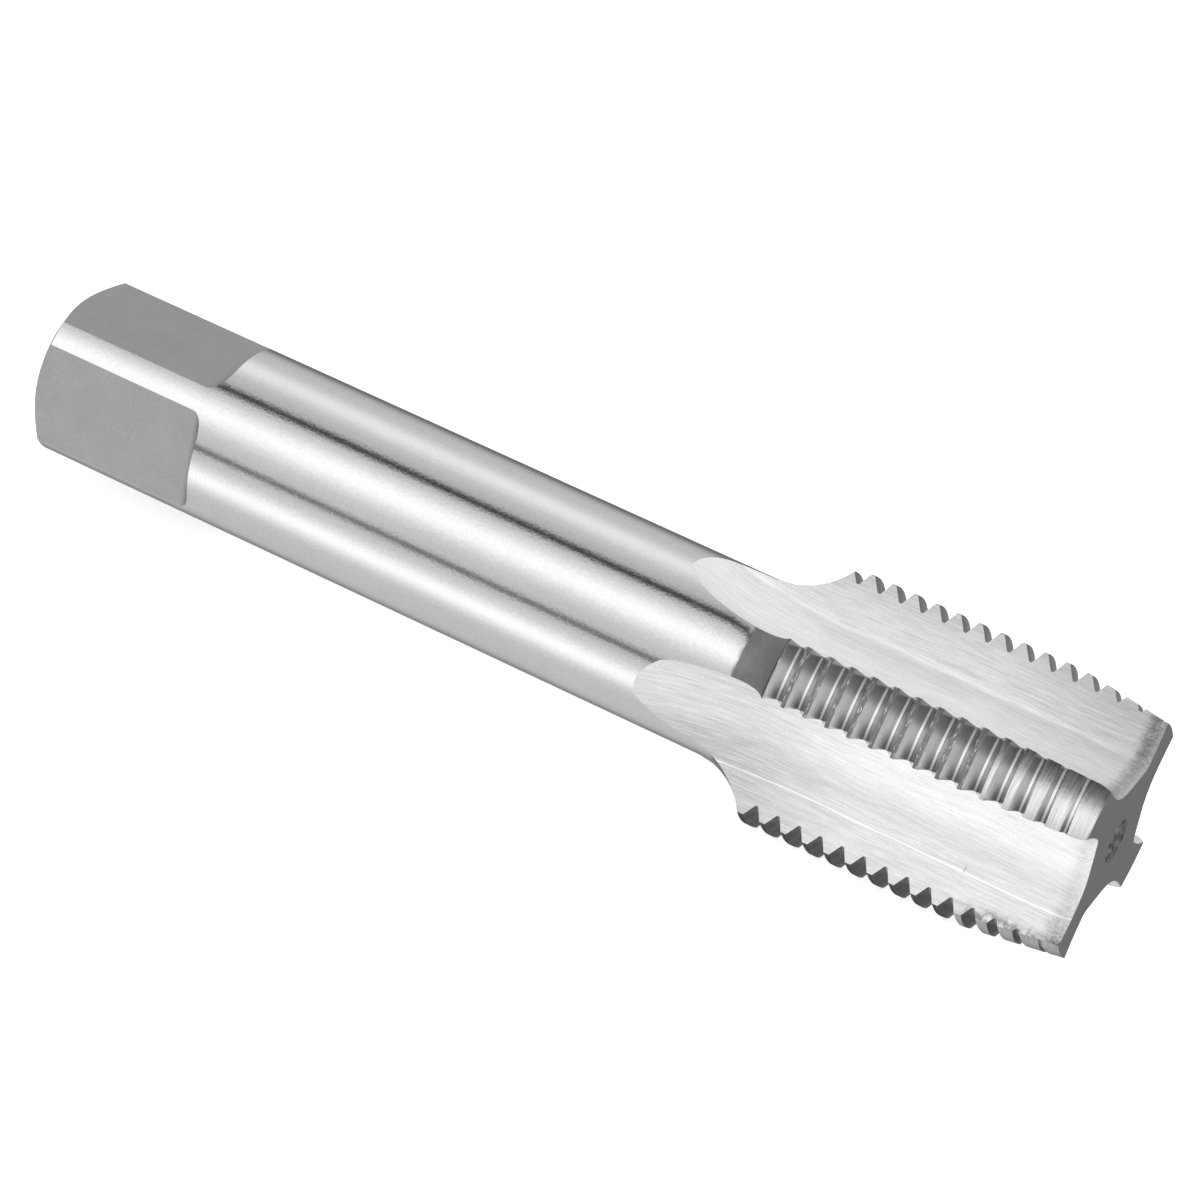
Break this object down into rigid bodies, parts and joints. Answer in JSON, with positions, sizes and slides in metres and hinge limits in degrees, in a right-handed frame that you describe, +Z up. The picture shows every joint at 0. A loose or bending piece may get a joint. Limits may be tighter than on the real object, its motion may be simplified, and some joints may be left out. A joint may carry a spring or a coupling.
{
  "type": "thread tap",
  "caption": "Straight-fluted hand tap: a metric thread cut into hooked lands with a lead chamfer, a plain round shank and a driving square.",
  "frame": {"origin": "under the middle of the tap, on the surface that it lies on", "axes": "+X along the tap's axis towards the cutting end, +Z up, with one flute facing straight down"},
  "size_m": [0.127, 0.0248, 0.0247],
  "materials": {
    "tool_steel": "ground bright, matte on the square, the shoulder and the thread flanks"
  },
  "bodies": {
    "root": {"tap": "tool_steel"}
  },
  "joints": []
}
